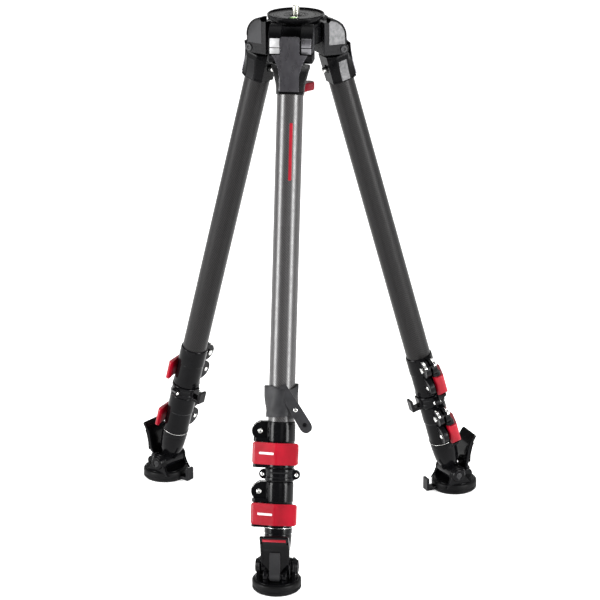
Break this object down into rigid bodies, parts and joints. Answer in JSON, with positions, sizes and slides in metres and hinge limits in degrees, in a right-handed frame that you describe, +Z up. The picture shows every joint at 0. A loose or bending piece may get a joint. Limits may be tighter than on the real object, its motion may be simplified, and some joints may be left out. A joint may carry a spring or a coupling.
{
  "type": "video tripod leg set",
  "caption": "Folding video tripod legs with carbon tubes, red flip locks, levelling platform with a camera stud, spreader hooks and pivoting rubber feet.",
  "frame": {"origin": "on the floor, at the centre of the bounding box of the footprint; the platform axis is 63 mm behind it in +Y", "axes": "+Z up; the front leg stands toward -Y and the other two legs are turned 120 degrees either side of it"},
  "size_m": [0.5078, 0.4491, 0.7585],
  "materials": {
    "casting": "black powder coat over die cast aluminium",
    "cover_satin": "satin grey paint",
    "carbon_tube": "clear-coated carbon fibre weave",
    "clamp_plastic": "moulded black nylon, fine grain",
    "lever_red": "red anodised look moulding with a satin gloss",
    "knob_red": "red moulded plastic",
    "steel": "bright zinc plated steel",
    "pad_rubber": "black rubber with a tread",
    "vial": "yellow-green spirit vial",
    "webbing": "black woven nylon webbing"
  },
  "bodies": {
    "spider": {"spider": "casting", "hinge_bolt_front": "steel", "hinge_bolt_right": "steel", "hinge_bolt_left": "steel"},
    "clamp_cup": {"clamp_cup": "casting"},
    "platform": {"platform_plate": "casting", "half_ball": "casting", "head_stud": "steel", "bubble_level": "vial", "tie_rod": "steel"},
    "tie_down_knob": {"tie_down_knob": "knob_red"},
    "leg_front": {"leg_yoke_front": "casting", "shoulder_cover_front": "cover_satin", "upper_tube_front": "carbon_tube", "upper_clamp_front": "clamp_plastic", "upper_clamp_bolt_front": "steel", "spreader_bracket_front": "clamp_plastic", "leg_strap": "webbing"},
    "angle_lock_front": {"angle_lock_front": "steel"},
    "upper_lever_front": {"upper_lever_front": "lever_red"},
    "middle_front": {"middle_tube_front": "carbon_tube", "lower_clamp_front": "clamp_plastic", "lower_clamp_bolt_front": "steel"},
    "lower_lever_front": {"lower_lever_front": "lever_red"},
    "lower_front": {"lower_tube_front": "carbon_tube", "ankle_front": "clamp_plastic"},
    "foot_front": {"foot_base_front": "pad_rubber"},
    "latch_front": {"foot_latch_front": "clamp_plastic"},
    "leg_right": {"leg_yoke_right": "casting", "shoulder_cover_right": "cover_satin", "upper_tube_right": "carbon_tube", "upper_clamp_right": "clamp_plastic", "upper_clamp_bolt_right": "steel", "spreader_bracket_right": "clamp_plastic"},
    "angle_lock_right": {"angle_lock_right": "steel"},
    "upper_lever_right": {"upper_lever_right": "lever_red"},
    "middle_right": {"middle_tube_right": "carbon_tube", "lower_clamp_right": "clamp_plastic", "lower_clamp_bolt_right": "steel"},
    "lower_lever_right": {"lower_lever_right": "lever_red"},
    "lower_right": {"lower_tube_right": "carbon_tube", "ankle_right": "clamp_plastic"},
    "foot_right": {"foot_base_right": "pad_rubber"},
    "latch_right": {"foot_latch_right": "clamp_plastic"},
    "leg_left": {"leg_yoke_left": "casting", "shoulder_cover_left": "cover_satin", "upper_tube_left": "carbon_tube", "upper_clamp_left": "clamp_plastic", "upper_clamp_bolt_left": "steel", "spreader_bracket_left": "clamp_plastic"},
    "angle_lock_left": {"angle_lock_left": "steel"},
    "upper_lever_left": {"upper_lever_left": "lever_red"},
    "middle_left": {"middle_tube_left": "carbon_tube", "lower_clamp_left": "clamp_plastic", "lower_clamp_bolt_left": "steel"},
    "lower_lever_left": {"lower_lever_left": "lever_red"},
    "lower_left": {"lower_tube_left": "carbon_tube", "ankle_left": "clamp_plastic"},
    "foot_left": {"foot_base_left": "pad_rubber"},
    "latch_left": {"foot_latch_left": "clamp_plastic"}
  },
  "joints": [
    {"name": "platform_turn", "type": "hinge", "parent": "spider", "child": "clamp_cup", "pos_m": [0, 0.063, 0.738], "axis": [0, 0, 1], "continuous": true},
    {"name": "platform_tilt", "type": "hinge", "parent": "clamp_cup", "child": "platform", "pos_m": [0, 0.063, 0.738], "axis": [-1, 0, 0], "range_deg": [-5, 5]},
    {"name": "tie_down_knob_turn", "type": "hinge", "parent": "platform", "child": "tie_down_knob", "pos_m": [0, 0.063, 0.645], "axis": [0, 0, 1], "range_deg": [-360, 360]},
    {"name": "spread_front", "type": "hinge", "parent": "spider", "child": "leg_front", "pos_m": [0, 0.004, 0.698], "axis": [-1, 0, 0], "range_deg": [-13, 40]},
    {"name": "angle_lock_press_front", "type": "slide", "parent": "leg_front", "child": "angle_lock_front", "axis": [0, -0.9603, 0.279], "range_m": [0, 0.004], "stiffness_N_per_m": 300, "springref_m": -0.002},
    {"name": "upper_lever_flip_front", "type": "hinge", "parent": "leg_front", "child": "upper_lever_front", "pos_m": [-0.03, -0.14898, 0.18126], "axis": [0, -0.279, -0.9603], "range_deg": [0, 115]},
    {"name": "middle_slide_front", "type": "slide", "parent": "leg_front", "child": "middle_front", "axis": [0, -0.279, -0.9603], "range_m": [0, 0.38]},
    {"name": "lower_lever_flip_front", "type": "hinge", "parent": "middle_front", "child": "lower_lever_front", "pos_m": [-0.03, -0.17221, 0.10131], "axis": [0, -0.279, -0.9603], "range_deg": [0, 115]},
    {"name": "lower_slide_front", "type": "slide", "parent": "middle_front", "child": "lower_front", "axis": [0, -0.279, -0.9603], "range_m": [0, 0.4]},
    {"name": "foot_pivot_front", "type": "hinge", "parent": "lower_front", "child": "foot_front", "pos_m": [0, -0.18489, 0.029], "axis": [-1, 0, 0], "range_deg": [-50, 2]},
    {"name": "foot_latch_flip_front", "type": "hinge", "parent": "foot_front", "child": "latch_front", "pos_m": [0, -0.206, 0.024], "axis": [1, 0, 0], "range_deg": [0, 60]},
    {"name": "spread_right", "type": "hinge", "parent": "spider", "child": "leg_right", "pos_m": [0.0511, 0.0925, 0.698], "axis": [0.5, -0.866, 0], "range_deg": [-13, 40]},
    {"name": "angle_lock_press_right", "type": "slide", "parent": "leg_right", "child": "angle_lock_right", "axis": [0.8316, 0.4801, 0.279], "range_m": [0, 0.004], "stiffness_N_per_m": 300, "springref_m": -0.002},
    {"name": "upper_lever_flip_right", "type": "hinge", "parent": "leg_right", "child": "upper_lever_right", "pos_m": [0.19858, 0.14301, 0.18126], "axis": [0.2416, 0.1395, -0.9603], "range_deg": [0, 115]},
    {"name": "middle_slide_right", "type": "slide", "parent": "leg_right", "child": "middle_right", "axis": [0.2416, 0.1395, -0.9603], "range_m": [0, 0.38]},
    {"name": "lower_lever_flip_right", "type": "hinge", "parent": "middle_right", "child": "lower_lever_right", "pos_m": [0.2187, 0.15462, 0.10131], "axis": [0.2416, 0.1395, -0.9603], "range_deg": [0, 115]},
    {"name": "lower_slide_right", "type": "slide", "parent": "middle_right", "child": "lower_right", "axis": [0.2416, 0.1395, -0.9603], "range_m": [0, 0.4]},
    {"name": "foot_pivot_right", "type": "hinge", "parent": "lower_right", "child": "foot_right", "pos_m": [0.21468, 0.18694, 0.029], "axis": [0.5, -0.866, 0], "range_deg": [-50, 2]},
    {"name": "foot_latch_flip_right", "type": "hinge", "parent": "foot_right", "child": "latch_right", "pos_m": [0.23296, 0.1975, 0.024], "axis": [-0.5, 0.866, 0], "range_deg": [0, 60]},
    {"name": "spread_left", "type": "hinge", "parent": "spider", "child": "leg_left", "pos_m": [-0.0511, 0.0925, 0.698], "axis": [0.5, 0.866, 0], "range_deg": [-13, 40]},
    {"name": "angle_lock_press_left", "type": "slide", "parent": "leg_left", "child": "angle_lock_left", "axis": [-0.8316, 0.4801, 0.279], "range_m": [0, 0.004], "stiffness_N_per_m": 300, "springref_m": -0.002},
    {"name": "upper_lever_flip_left", "type": "hinge", "parent": "leg_left", "child": "upper_lever_left", "pos_m": [-0.16858, 0.19497, 0.18126], "axis": [-0.2416, 0.1395, -0.9603], "range_deg": [0, 115]},
    {"name": "middle_slide_left", "type": "slide", "parent": "leg_left", "child": "middle_left", "axis": [-0.2416, 0.1395, -0.9603], "range_m": [0, 0.38]},
    {"name": "lower_lever_flip_left", "type": "hinge", "parent": "middle_left", "child": "lower_lever_left", "pos_m": [-0.1887, 0.20659, 0.10131], "axis": [-0.2416, 0.1395, -0.9603], "range_deg": [0, 115]},
    {"name": "lower_slide_left", "type": "slide", "parent": "middle_left", "child": "lower_left", "axis": [-0.2416, 0.1395, -0.9603], "range_m": [0, 0.4]},
    {"name": "foot_pivot_left", "type": "hinge", "parent": "lower_left", "child": "foot_left", "pos_m": [-0.21468, 0.18694, 0.029], "axis": [0.5, 0.866, 0], "range_deg": [-50, 2]},
    {"name": "foot_latch_flip_left", "type": "hinge", "parent": "foot_left", "child": "latch_left", "pos_m": [-0.23296, 0.1975, 0.024], "axis": [-0.5, -0.866, 0], "range_deg": [0, 60]}
  ]
}
